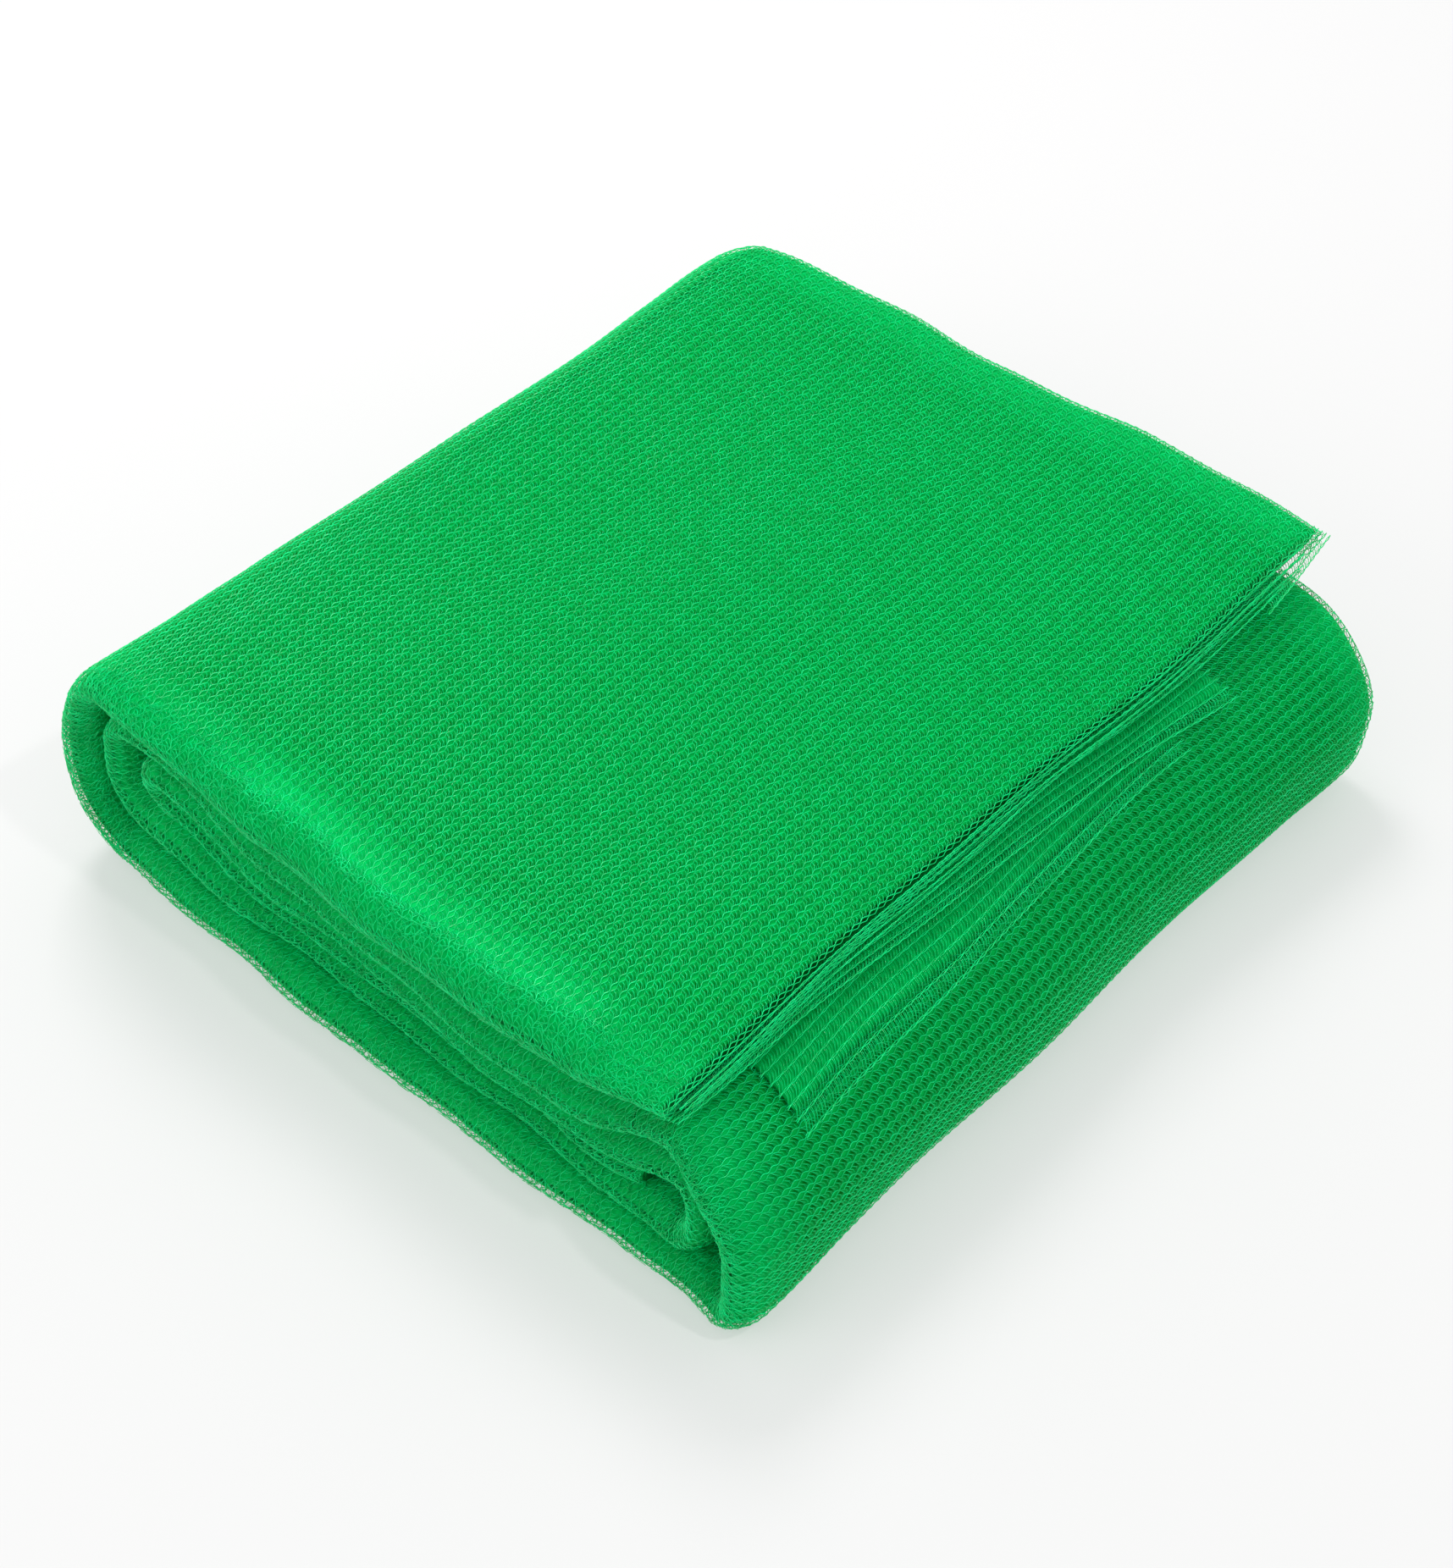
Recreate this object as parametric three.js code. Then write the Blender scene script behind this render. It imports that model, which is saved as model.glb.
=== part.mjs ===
// A knitted safety net, folded into a narrow strip of several plies and rolled flat into a square pack.
// One net makes the whole pack. The strip is divided here where it bends, so each flat run and each
// fold is a piece of its own, and the outer turn can be unrolled about its two left-hand bends.
// Millimetres, +Z up. +Y runs along the folds, +X from the left folds to the right folds.
// The origin is under the middle of the pack, on the surface that it lies on.
import * as THREE from "three";

// Driving dimensions
const PACK_LENGTH = 296; // outside of the left fold to outside of the right fold
const PACK_WIDTH = 300; // along the folds
const PACK_HEIGHT = 85;
const STRIP = 12; // thickness of the strip: eight loosely stacked plies of net
const INNER_STRIP = 11.4; // the two innermost runs are pressed a little thinner
const PLY = 1.2; // one ply of net, with its knots
const SLIT = 0.4; // clearance left between one piece of the strip and the next

// Levels of the strip's mid-line in each run, counted from the outside of the roll
const TOP_LEVEL = PACK_HEIGHT - STRIP / 2;
const BOTTOM_LEVEL = STRIP / 2;
const SECOND_TOP_LEVEL = 63;
const SECOND_BOTTOM_LEVEL = 22;
const THIRD_TOP_LEVEL = 46;
const CORE_LEVEL = 34;

// Bends of the strip's mid-line
const OUTER_BEND = 16;
const SECOND_BEND = 14;
const LEFT_WALL_X = -PACK_LENGTH / 2 + STRIP / 2;
const LEFT_BEND_X = LEFT_WALL_X + OUTER_BEND;
const RIGHT_WALL_X = PACK_LENGTH / 2 - STRIP / 2;
const RIGHT_BEND_X = RIGHT_WALL_X - OUTER_BEND;
const SHOULDER_CENTRE = { x: 90, z: 28 };
const SHOULDER_REACH = RIGHT_WALL_X - SHOULDER_CENTRE.x;
const SHOULDER_RISE = SECOND_TOP_LEVEL - SHOULDER_CENTRE.z;
const SECOND_WALL_X = -128.5;
const SECOND_BEND_X = SECOND_WALL_X + SECOND_BEND;
const INNER_RIGHT_BEND_X = 108;
const INNER_RIGHT_BEND = (THIRD_TOP_LEVEL - SECOND_BOTTOM_LEVEL) / 2;
const INNER_LEFT_BEND_X = -104;
const INNER_LEFT_BEND = (THIRD_TOP_LEVEL - CORE_LEVEL) / 2;
const CORE_END_X = 92;

// The flap's free end lies on the shoulder, a little lower and thinner than the rest of the flap
const FLAP_END_X = 106;
const FLAP_DROOP = 3;
const FLAP_DROOP_START_X = 80;
const FLAP_TAPER_START_X = 60;
const FLAP_END_THICKNESS = 7;

// Single plies that slip out from under the flap's end
const UPPER_LEAF = { start: 99, end: 121, front: -149, back: 88, clearance: 3.2 };
const LOWER_LEAF = { start: 94, end: 127, front: -120, back: 66, clearance: 1.5 };
const CORNER_PLY = { start: FLAP_END_X + SLIT, end: 117, front: 118, back: 150 };

// The middle of the pack sags between its folded ends, most at half height
const SAG_MIDDLE = -5;
const RISE_LEFT = 8;
const RISE_RIGHT = 4;
const RISE_LEFT_X = -118;
const RISE_RIGHT_X = 100;

const STEP = 9; // longest straight step along a run
const ARC_STEP = THREE.MathUtils.degToRad(11.25);
const QUARTER = Math.PI / 2;

const NET_GREEN = 0x00a84f;
const SHADED_GREEN = 0x008f3c;

function netMaterial(name, color) {
  const material = new THREE.MeshStandardMaterial({ color, roughness: 0.45, metalness: 0 });
  material.name = name;
  return material;
}

const outerNet = netMaterial("knitted_net", NET_GREEN);
const innerNet = netMaterial("knitted_net_inside", SHADED_GREEN);

function sag(x, z) {
  const toLeft = THREE.MathUtils.smoothstep(-x, 0, -RISE_LEFT_X);
  const toRight = THREE.MathUtils.smoothstep(x, 0, RISE_RIGHT_X);
  const lift = SAG_MIDDLE + (RISE_LEFT - SAG_MIDDLE) * toLeft + (RISE_RIGHT - SAG_MIDDLE) * toRight;
  return z + lift * Math.sin((Math.PI * z) / PACK_HEIGHT);
}

// Mid-line stretches: each returns points from its start to its end
function run(x0, z0, x1, z1) {
  const steps = Math.max(1, Math.ceil(Math.hypot(x1 - x0, z1 - z0) / STEP));
  const line = new THREE.LineCurve(new THREE.Vector2(x0, z0), new THREE.Vector2(x1, z1));
  return line.getPoints(steps);
}

function bend(x, z, reach, rise, from, to) {
  const clockwise = to < from;
  const steps = Math.max(2, Math.ceil(Math.abs(to - from) / ARC_STEP));
  return new THREE.EllipseCurve(x, z, reach, rise, from, to, clockwise).getPoints(steps);
}

function joined(...stretches) {
  const points = [];
  for (const stretch of stretches) {
    for (const point of stretch) {
      const last = points[points.length - 1];
      if (!last || last.distanceTo(point) > 0.01) points.push(point.clone());
    }
  }
  return points;
}

// Pulls the two ends of a mid-line back by half a slit, so neighbours keep clear of each other
function shortened(points) {
  const trimmed = points.map((point) => point.clone());
  const count = trimmed.length;
  const half = SLIT / 2;
  trimmed[0].add(points[1].clone().sub(points[0]).setLength(half));
  trimmed[count - 1].add(points[count - 2].clone().sub(points[count - 1]).setLength(half));
  return trimmed;
}

// Direction of a mid-line at one of its points. At an end it mirrors the direction at the next point
// about the last chord, which is exact on a straight run and on a round bend.
function direction(points, i) {
  const last = points.length - 1;
  if (last === 1) return points[1].clone().sub(points[0]).normalize();
  if (i > 0 && i < last) return points[i + 1].clone().sub(points[i - 1]).normalize();
  const neighbour = direction(points, i === 0 ? 1 : last - 1);
  const chord = i === 0 ? points[1].clone().sub(points[0]) : points[last].clone().sub(points[last - 1]);
  chord.normalize();
  return chord.multiplyScalar(2 * chord.dot(neighbour)).sub(neighbour);
}

// The closed outline of a strip of the given thickness along a mid-line
function stripOutline(points, thicknessAt) {
  const left = [];
  const right = [];
  points.forEach((point, i) => {
    const along = direction(points, i);
    const across = new THREE.Vector2(-along.y, along.x).multiplyScalar(thicknessAt(point.x) / 2);
    left.push(point.clone().add(across));
    right.push(point.clone().sub(across));
  });
  const outline = [...left, ...right.reverse()];
  return outline.map((point) => new THREE.Vector2(point.x, sag(point.x, point.y)));
}

const pack = new THREE.Group();
pack.name = "folded_net_pack";

// Adds one piece: the mid-line's outline carried along the folds from front to back
function addPiece(name, points, material, options = {}) {
  const { thickness = STRIP, front = -PACK_WIDTH / 2, back = PACK_WIDTH / 2 } = options;
  const thicknessAt = typeof thickness === "function" ? thickness : () => thickness;
  const outline = stripOutline(shortened(points), thicknessAt);
  const shape = new THREE.Shape(outline);
  const geometry = new THREE.ExtrudeGeometry(shape, { depth: back - front, bevelEnabled: false });
  geometry.rotateX(QUARTER);
  geometry.translate(0, back, 0);
  const mesh = new THREE.Mesh(geometry, material);
  mesh.name = name;
  pack.add(mesh);
}

// Outer turn: top flap, left wall and bottom panel, divided half way round the two left bends
const upperLeftBend = { x: LEFT_BEND_X, z: TOP_LEVEL - OUTER_BEND };
const lowerLeftBend = { x: LEFT_BEND_X, z: BOTTOM_LEVEL + OUTER_BEND };

function outerBend(centre, from, to) {
  return bend(centre.x, centre.z, OUTER_BEND, OUTER_BEND, from, to);
}

const flapEnd = new THREE.QuadraticBezierCurve(
  new THREE.Vector2(FLAP_END_X, TOP_LEVEL - FLAP_DROOP),
  new THREE.Vector2((FLAP_END_X + FLAP_DROOP_START_X) / 2, TOP_LEVEL),
  new THREE.Vector2(FLAP_DROOP_START_X, TOP_LEVEL),
).getPoints(5);

function flapThickness(x) {
  const taper = THREE.MathUtils.smoothstep(x, FLAP_TAPER_START_X, FLAP_END_X);
  return STRIP + (FLAP_END_THICKNESS - STRIP) * taper;
}

addPiece(
  "top_flap",
  joined(
    flapEnd,
    run(FLAP_DROOP_START_X, TOP_LEVEL, LEFT_BEND_X, TOP_LEVEL),
    outerBend(upperLeftBend, QUARTER, 1.5 * QUARTER),
  ),
  outerNet,
  { thickness: flapThickness },
);
addPiece(
  "left_wall",
  joined(
    outerBend(upperLeftBend, 1.5 * QUARTER, 2 * QUARTER),
    run(LEFT_WALL_X, upperLeftBend.z, LEFT_WALL_X, lowerLeftBend.z),
    outerBend(lowerLeftBend, 2 * QUARTER, 2.5 * QUARTER),
  ),
  outerNet,
);
addPiece(
  "bottom_panel",
  joined(
    outerBend(lowerLeftBend, 2.5 * QUARTER, 3 * QUARTER),
    run(LEFT_BEND_X, BOTTOM_LEVEL, RIGHT_BEND_X, BOTTOM_LEVEL),
  ),
  outerNet,
);

// Right-hand fold: a tight bend at the bottom and a broad round shoulder above it
addPiece(
  "right_fold",
  joined(
    bend(RIGHT_BEND_X, lowerLeftBend.z, OUTER_BEND, OUTER_BEND, -QUARTER, 0),
    run(RIGHT_WALL_X, lowerLeftBend.z, RIGHT_WALL_X, SHOULDER_CENTRE.z),
    bend(SHOULDER_CENTRE.x, SHOULDER_CENTRE.z, SHOULDER_REACH, SHOULDER_RISE, 0, QUARTER),
  ),
  outerNet,
);

// Second turn
addPiece(
  "second_top_panel",
  run(SHOULDER_CENTRE.x, SECOND_TOP_LEVEL, SECOND_BEND_X, SECOND_TOP_LEVEL),
  innerNet,
);
addPiece(
  "second_left_fold",
  joined(
    bend(SECOND_BEND_X, SECOND_TOP_LEVEL - SECOND_BEND, SECOND_BEND, SECOND_BEND, QUARTER, 2 * QUARTER),
    bend(SECOND_BEND_X, SECOND_BOTTOM_LEVEL + SECOND_BEND, SECOND_BEND, SECOND_BEND, 2 * QUARTER, 3 * QUARTER),
  ),
  innerNet,
);
addPiece(
  "second_bottom_panel",
  run(SECOND_BEND_X, SECOND_BOTTOM_LEVEL, INNER_RIGHT_BEND_X, SECOND_BOTTOM_LEVEL),
  innerNet,
);
addPiece(
  "inner_right_fold",
  bend(
    INNER_RIGHT_BEND_X,
    (SECOND_BOTTOM_LEVEL + THIRD_TOP_LEVEL) / 2,
    INNER_RIGHT_BEND,
    INNER_RIGHT_BEND,
    -QUARTER,
    QUARTER,
  ),
  innerNet,
);

// Third turn, which ends at the core of the roll
const inner = { thickness: INNER_STRIP };
addPiece(
  "third_top_panel",
  run(INNER_RIGHT_BEND_X, THIRD_TOP_LEVEL, INNER_LEFT_BEND_X, THIRD_TOP_LEVEL),
  innerNet,
  inner,
);
addPiece(
  "inner_left_fold",
  bend(
    INNER_LEFT_BEND_X,
    (THIRD_TOP_LEVEL + CORE_LEVEL) / 2,
    INNER_LEFT_BEND,
    INNER_LEFT_BEND,
    QUARTER,
    3 * QUARTER,
  ),
  innerNet,
  inner,
);
addPiece("core_end_panel", run(INNER_LEFT_BEND_X, CORE_LEVEL, CORE_END_X, CORE_LEVEL), innerNet, inner);

// Loose plies at the flap's free end. The two leaves lie round the shoulder of the right-hand fold.
function addLeaf(name, leaf) {
  const away = STRIP / 2 + leaf.clearance;
  const reach = SHOULDER_REACH + away;
  const rise = SHOULDER_RISE + away;
  const from = Math.acos((leaf.end - SHOULDER_CENTRE.x) / reach);
  const to = Math.acos((leaf.start - SHOULDER_CENTRE.x) / reach);
  addPiece(name, bend(SHOULDER_CENTRE.x, SHOULDER_CENTRE.z, reach, rise, from, to), outerNet, {
    thickness: PLY,
    front: leaf.front,
    back: leaf.back,
  });
}

addLeaf("upper_leaf", UPPER_LEAF);
addLeaf("lower_leaf", LOWER_LEAF);

const cornerLevel = TOP_LEVEL - FLAP_DROOP;
addPiece("corner_ply", run(CORNER_PLY.start, cornerLevel, CORNER_PLY.end, cornerLevel), outerNet, {
  thickness: PLY,
  front: CORNER_PLY.front,
  back: CORNER_PLY.back,
});

export default pack;
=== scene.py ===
# A knitted plastic net, folded lengthways into an eight-ply strip and rolled flat into a square pack.
# Metres, +Z up. +Y runs along the folds and +X from the left folds to the round right fold.
import math

import bpy
import numpy as np
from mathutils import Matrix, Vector


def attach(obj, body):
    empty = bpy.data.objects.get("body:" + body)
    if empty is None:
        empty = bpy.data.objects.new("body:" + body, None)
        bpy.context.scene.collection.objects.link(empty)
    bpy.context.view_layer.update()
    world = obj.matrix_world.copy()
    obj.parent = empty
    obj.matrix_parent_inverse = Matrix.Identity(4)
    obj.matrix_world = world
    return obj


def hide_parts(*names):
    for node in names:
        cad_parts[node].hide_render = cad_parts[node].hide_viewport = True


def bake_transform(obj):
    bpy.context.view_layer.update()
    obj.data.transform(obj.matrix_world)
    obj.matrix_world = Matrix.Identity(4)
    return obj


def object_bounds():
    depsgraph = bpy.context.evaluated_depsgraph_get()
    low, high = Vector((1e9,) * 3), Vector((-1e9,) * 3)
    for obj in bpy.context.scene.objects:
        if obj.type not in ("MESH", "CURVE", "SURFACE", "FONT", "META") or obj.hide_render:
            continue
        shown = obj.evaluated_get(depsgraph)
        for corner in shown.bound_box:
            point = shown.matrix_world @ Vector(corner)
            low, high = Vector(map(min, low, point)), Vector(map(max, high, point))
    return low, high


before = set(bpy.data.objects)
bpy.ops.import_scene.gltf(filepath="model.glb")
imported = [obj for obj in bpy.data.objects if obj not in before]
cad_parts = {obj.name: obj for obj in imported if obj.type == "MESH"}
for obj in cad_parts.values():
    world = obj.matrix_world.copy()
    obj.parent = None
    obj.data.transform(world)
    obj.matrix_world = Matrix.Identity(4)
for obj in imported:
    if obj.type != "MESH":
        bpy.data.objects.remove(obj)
cad_low, cad_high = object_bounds()
scene = bpy.context.scene


# ---------------------------------------------------------------------------------------------------
# The camera looks down at the front right corner of the pack from a metre away, and has the pack a
# little left of the middle of the view.
CAMERA_AZIMUTH = math.radians(41.83)
CAMERA_ELEVATION = math.radians(45.96)
CAMERA_DISTANCE = 1.0
CAMERA_TARGET = Vector((-0.0576, 0.0592, -0.0710))
CAMERA_LENS = 63.03
CAMERA_SENSOR = 36.0
CAMERA_NEAREST = 0.01

camera_data = bpy.data.cameras.new("camera")
camera_data.lens = CAMERA_LENS
camera_data.sensor_width = CAMERA_SENSOR
camera_data.clip_start = CAMERA_NEAREST
camera = bpy.data.objects.new("camera", camera_data)
scene.collection.objects.link(camera)
towards_camera = Vector((
    math.sin(CAMERA_AZIMUTH) * math.cos(CAMERA_ELEVATION),
    -math.cos(CAMERA_AZIMUTH) * math.cos(CAMERA_ELEVATION),
    math.sin(CAMERA_ELEVATION),
))
camera.location = CAMERA_TARGET + towards_camera * CAMERA_DISTANCE
camera.rotation_euler = (-towards_camera).to_track_quat("-Z", "Y").to_euler()
scene.camera = camera


# ---------------------------------------------------------------------------------------------------
# The core and the third turn: the inner end of the net. It is one sheet of knitted polyethylene
# monofilament, folded lengthways into eight loose plies, which make a strip as wide as the pack. The
# strip is rolled flat from here outwards, and nothing but its own weight and its folds holds it.

# The strip's route is the mid-line of its thickness, from its free end to its core, seen from the front.
# It is straight between the bends, and settled(), below, gives it its sag and its waves.
PACK_LENGTH = cad_high.x - cad_low.x
PACK_WIDTH = cad_high.y - cad_low.y
PACK_HEIGHT = cad_high.z - cad_low.z
STRIP = 0.012
HALF_STRIP = STRIP / 2

TOP_LEVEL = PACK_HEIGHT - HALF_STRIP
SECOND_TOP_LEVEL = 0.063
SECOND_BOTTOM_LEVEL = 0.022
THIRD_TOP_LEVEL = 0.046
CORE_LEVEL = 0.034
OUTER_BEND = 0.016
HEEL_BEND = 0.011
SECOND_BEND = 0.014
LEFT_WALL_X = -PACK_LENGTH / 2 + HALF_STRIP
RIGHT_WALL_X = PACK_LENGTH / 2 - HALF_STRIP
LEFT_BEND_X = LEFT_WALL_X + OUTER_BEND
RIGHT_BEND_X = RIGHT_WALL_X - HEEL_BEND
SHOULDER_X, SHOULDER_Z = 0.090, 0.028
SHOULDER_REACH = RIGHT_WALL_X - SHOULDER_X
SHOULDER_RISE = SECOND_TOP_LEVEL - SHOULDER_Z
SECOND_BEND_X = -0.1130
INNER_RIGHT_X = 0.108
INNER_LEFT_X = -0.104
CORE_END_X = 0.092
FLAP_END_X = 0.106
FLAP_DROOP = 0.0015
FLAP_DROOP_X = 0.080
ROUTE_STEP = 0.001
BEND_POINTS = 60
DROOP_POINTS = 30


def run(x0, x1, z0, z1=None):
    """A straight stretch of the route, level unless z1 is given."""
    z1 = z0 if z1 is None else z1
    t = np.linspace(0, 1, max(3, int(math.hypot(x1 - x0, z1 - z0) / ROUTE_STEP)))
    return np.stack([x0 + (x1 - x0) * t, z0 + (z1 - z0) * t], 1)


def bend(x, z, reach, rise, start, end):
    """An arc of an ellipse about (x, z), from one angle in degrees to another."""
    t = np.radians(np.linspace(start, end, BEND_POINTS))
    return np.stack([x + reach * np.cos(t), z + rise * np.sin(t)], 1)


def droop():
    """The flap's last stretch, which hangs down a little towards its cut end."""
    t = np.linspace(0, 1, DROOP_POINTS)
    x = FLAP_END_X + (FLAP_DROOP_X - FLAP_END_X) * t
    return np.stack([x, TOP_LEVEL - FLAP_DROOP * (1 - t) ** 2], 1)


upper_z = TOP_LEVEL - OUTER_BEND
lower_z = HALF_STRIP + OUTER_BEND
heel_z = HALF_STRIP + HEEL_BEND
second_upper_z = SECOND_TOP_LEVEL - SECOND_BEND
second_lower_z = SECOND_BOTTOM_LEVEL + SECOND_BEND
inner_right_z = (SECOND_BOTTOM_LEVEL + THIRD_TOP_LEVEL) / 2
inner_right_bend = (THIRD_TOP_LEVEL - SECOND_BOTTOM_LEVEL) / 2
inner_left_z = (THIRD_TOP_LEVEL + CORE_LEVEL) / 2
inner_left_bend = (THIRD_TOP_LEVEL - CORE_LEVEL) / 2
second_wall_x = SECOND_BEND_X - SECOND_BEND
STRETCHES = [
    ("flap_end", droop()),
    ("flap", run(FLAP_DROOP_X, LEFT_BEND_X, TOP_LEVEL)),
    ("upper_bend", bend(LEFT_BEND_X, upper_z, OUTER_BEND, OUTER_BEND, 90, 180)),
    ("wall", run(LEFT_WALL_X, LEFT_WALL_X, upper_z, lower_z)),
    ("lower_bend", bend(LEFT_BEND_X, lower_z, OUTER_BEND, OUTER_BEND, 180, 270)),
    ("bottom", run(LEFT_BEND_X, RIGHT_BEND_X, HALF_STRIP)),
    ("heel", bend(RIGHT_BEND_X, heel_z, HEEL_BEND, HEEL_BEND, -90, 0)),
    ("right_wall", run(RIGHT_WALL_X, RIGHT_WALL_X, heel_z, SHOULDER_Z)),
    ("shoulder", bend(SHOULDER_X, SHOULDER_Z, SHOULDER_REACH, SHOULDER_RISE, 0, 90)),
    ("second_top", run(SHOULDER_X, SECOND_BEND_X, SECOND_TOP_LEVEL)),
    ("second_upper", bend(SECOND_BEND_X, second_upper_z, SECOND_BEND, SECOND_BEND, 90, 180)),
    ("second_wall", run(second_wall_x, second_wall_x, second_upper_z, second_lower_z)),
    ("second_lower", bend(SECOND_BEND_X, second_lower_z, SECOND_BEND, SECOND_BEND, 180, 270)),
    ("second_bottom", run(SECOND_BEND_X, INNER_RIGHT_X, SECOND_BOTTOM_LEVEL)),
    ("inner_right", bend(INNER_RIGHT_X, inner_right_z, inner_right_bend, inner_right_bend, -90, 90)),
    ("third_top", run(INNER_RIGHT_X, INNER_LEFT_X, THIRD_TOP_LEVEL)),
    ("inner_left", bend(INNER_LEFT_X, inner_left_z, inner_left_bend, inner_left_bend, 90, 270)),
    ("core", run(INNER_LEFT_X, CORE_END_X, CORE_LEVEL)),
]

line = STRETCHES[0][1][:1]
counts = {}
for name, points in STRETCHES:
    first = len(line) - 1
    line = np.concatenate([line, points[1:]])
    counts[name] = (first, len(line) - 1)
steps = np.hypot(*np.diff(line, axis=0).T)
keep = np.concatenate([[True], steps > 1e-7])
line_s = np.concatenate([[0], np.cumsum(steps)])
span = {name: (line_s[a], line_s[b]) for name, (a, b) in counts.items()}
line, line_s = line[keep], line_s[keep]
tangent = np.gradient(line, line_s, axis=0)
tangent /= np.linalg.norm(tangent, axis=1)[:, None]
outward = np.stack([tangent[:, 1], -tangent[:, 0]], 1)


def route(s):
    """Mid-line point and outward direction, in X and Z, at a distance s from the strip's free end."""
    x, z, ox, oz = [np.interp(s, line_s, column) for column in (*line.T, *outward.T)]
    before = np.minimum(s, 0)
    size = np.hypot(ox, oz)
    return x + before * tangent[0, 0], z + before * tangent[0, 1], ox / size, oz / size


# The pack sags in its middle and stands higher at its two folded ends, and more so towards the front.
SAG_MIDDLE, RISE_LEFT, RISE_RIGHT = -0.005, 0.008, 0.004
RISE_LEFT_X, RISE_RIGHT_X = -0.118, 0.100
LESS_SAG_AT_BACK = 0.7
# How far the folds have moved from the neat roll, and the lowest that any of the net lies.
CORNER_LIFT = 0.003
ROUND_LEFT = 0.0080
ROUND_LEFT_DROP = 0.001
DRAWN_IN = 0.0100
LESS_DRAWN_IN_AT_BACK = 0.0045
LOWEST = 0.0003
# The left fold isn't straight: how far its edge stands to the right of a straight line, front to back.
LEFT_EDGE_Y = [-0.150, -0.125, -0.080, -0.030, 0.030, 0.100, 0.150]
LEFT_EDGE_X = [-0.0032, -0.0014, 0.0014, 0.0006, 0.0, -0.0022, -0.0018]


def smooth(t):
    """From 0 to 1 with soft ends, as t goes from 0 to 1."""
    t = np.clip(t, 0, 1)
    return t * t * (3 - 2 * t)


# At the front end the flap hangs fuller and the inner turns are pressed closer together: heights
# in the neat roll, and where the middle of the front end has them.
NEAT_Z = [0.0, 0.012, 0.016, 0.040, 0.057, 0.069, 0.073, 0.085]
FRONT_Z = [0.0005, 0.0155, 0.0185, 0.031, 0.0435, 0.0555, 0.0610, 0.0800]


def settled(x, y, z):
    """Where a point of the neatly rolled pack ends up once the net has sagged, bulged and wavered."""
    left = smooth(x / RISE_LEFT_X)
    right = smooth(x / RISE_RIGHT_X)
    lift = SAG_MIDDLE + (RISE_LEFT - SAG_MIDDLE) * left + (RISE_RIGHT - SAG_MIDDLE) * right
    high = np.sin(np.pi * np.clip(z / PACK_HEIGHT, 0, 1))
    lift = lift * high * (1 - LESS_SAG_AT_BACK * smooth(y / PACK_WIDTH + 0.5))
    # The front end slumps, except close to the left and right folds.
    slump = smooth((-0.105 - y) / 0.045) * smooth((x + 0.110) / 0.060) * smooth((0.112 - x) / 0.045)
    lift = lift + slump * (np.interp(z, NEAT_Z, FRONT_Z) - z - lift)
    # The lower left bend lies a little off the floor, and the upper left bend is round and pulled in.
    lift = lift + CORNER_LIFT * smooth((-0.112 - x) / 0.032) * (1 - smooth(z / 0.042))
    round_left = smooth((-0.106 - x) / 0.036) * smooth((z - 0.028) / 0.048)
    lift = lift - ROUND_LEFT_DROP * round_left
    # The right fold is drawn in, less so towards its back.
    less = LESS_DRAWN_IN_AT_BACK * smooth((y - 0.050) / 0.090)
    drawn_in = smooth((x - 0.095) / 0.050) * (DRAWN_IN - less)
    left_edge = smooth((-0.085 - x) / 0.045) * np.interp(y, LEFT_EDGE_Y, LEFT_EDGE_X)
    # Slow waves of about a millimetre run through all of it, and die out at the floor.
    wave = 0.0007 * np.sin(19 * x + 31 * y + 0.5) + 0.0006 * np.sin(43 * x - 17 * y + 80 * z + 2.0)
    wave = wave * np.clip(z / 0.02, 0, 1)
    x = x + ROUND_LEFT * round_left - drawn_in + left_edge
    sideways = 0.0008 * np.sin(27 * y + 60 * z + 1.1) + 0.0006 * np.sin(61 * y - 25 * x)
    endways = 0.0010 * np.sin(33 * x + 55 * z + 0.3) + 0.0006 * np.sin(71 * x - 90 * z)
    height = np.maximum(z + lift + wave, LOWEST)
    return np.stack([x + sideways, y + endways, height], -1)


# Across its width the strip is flat on both sides, a little fuller near the ends, and it has a soft
# round nose at each end where the plies turn back.
HALF_WIDTH = PACK_WIDTH / 2
NOSE = 0.011
FULLER = 0.0009
FULLER_FROM = 0.105
FULLER_OVER = 0.030
flat_v = np.linspace(0, HALF_WIDTH - NOSE, 80)
flat_h = HALF_STRIP + FULLER * smooth((flat_v - FULLER_FROM) / FULLER_OVER)
nose_t = np.radians(np.linspace(0, 180, 41))[1:-1]
half_v = np.concatenate([flat_v, HALF_WIDTH - NOSE + NOSE * np.sin(nose_t), flat_v[::-1]])
half_h = np.concatenate([flat_h, flat_h[-1] * np.cos(nose_t), -flat_h[::-1]])
section_v = np.concatenate([half_v, -half_v[::-1][1:]])
section_h = np.concatenate([half_h, half_h[::-1][1:]])
section_u = np.concatenate([[0], np.cumsum(np.hypot(np.diff(section_v), np.diff(section_h)))])
GIRTH = section_u[-1]
EDGE = section_u[np.argmax(section_v)]
section_nv = -np.gradient(section_h, section_u)
section_nh = np.gradient(section_v, section_u)

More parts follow.
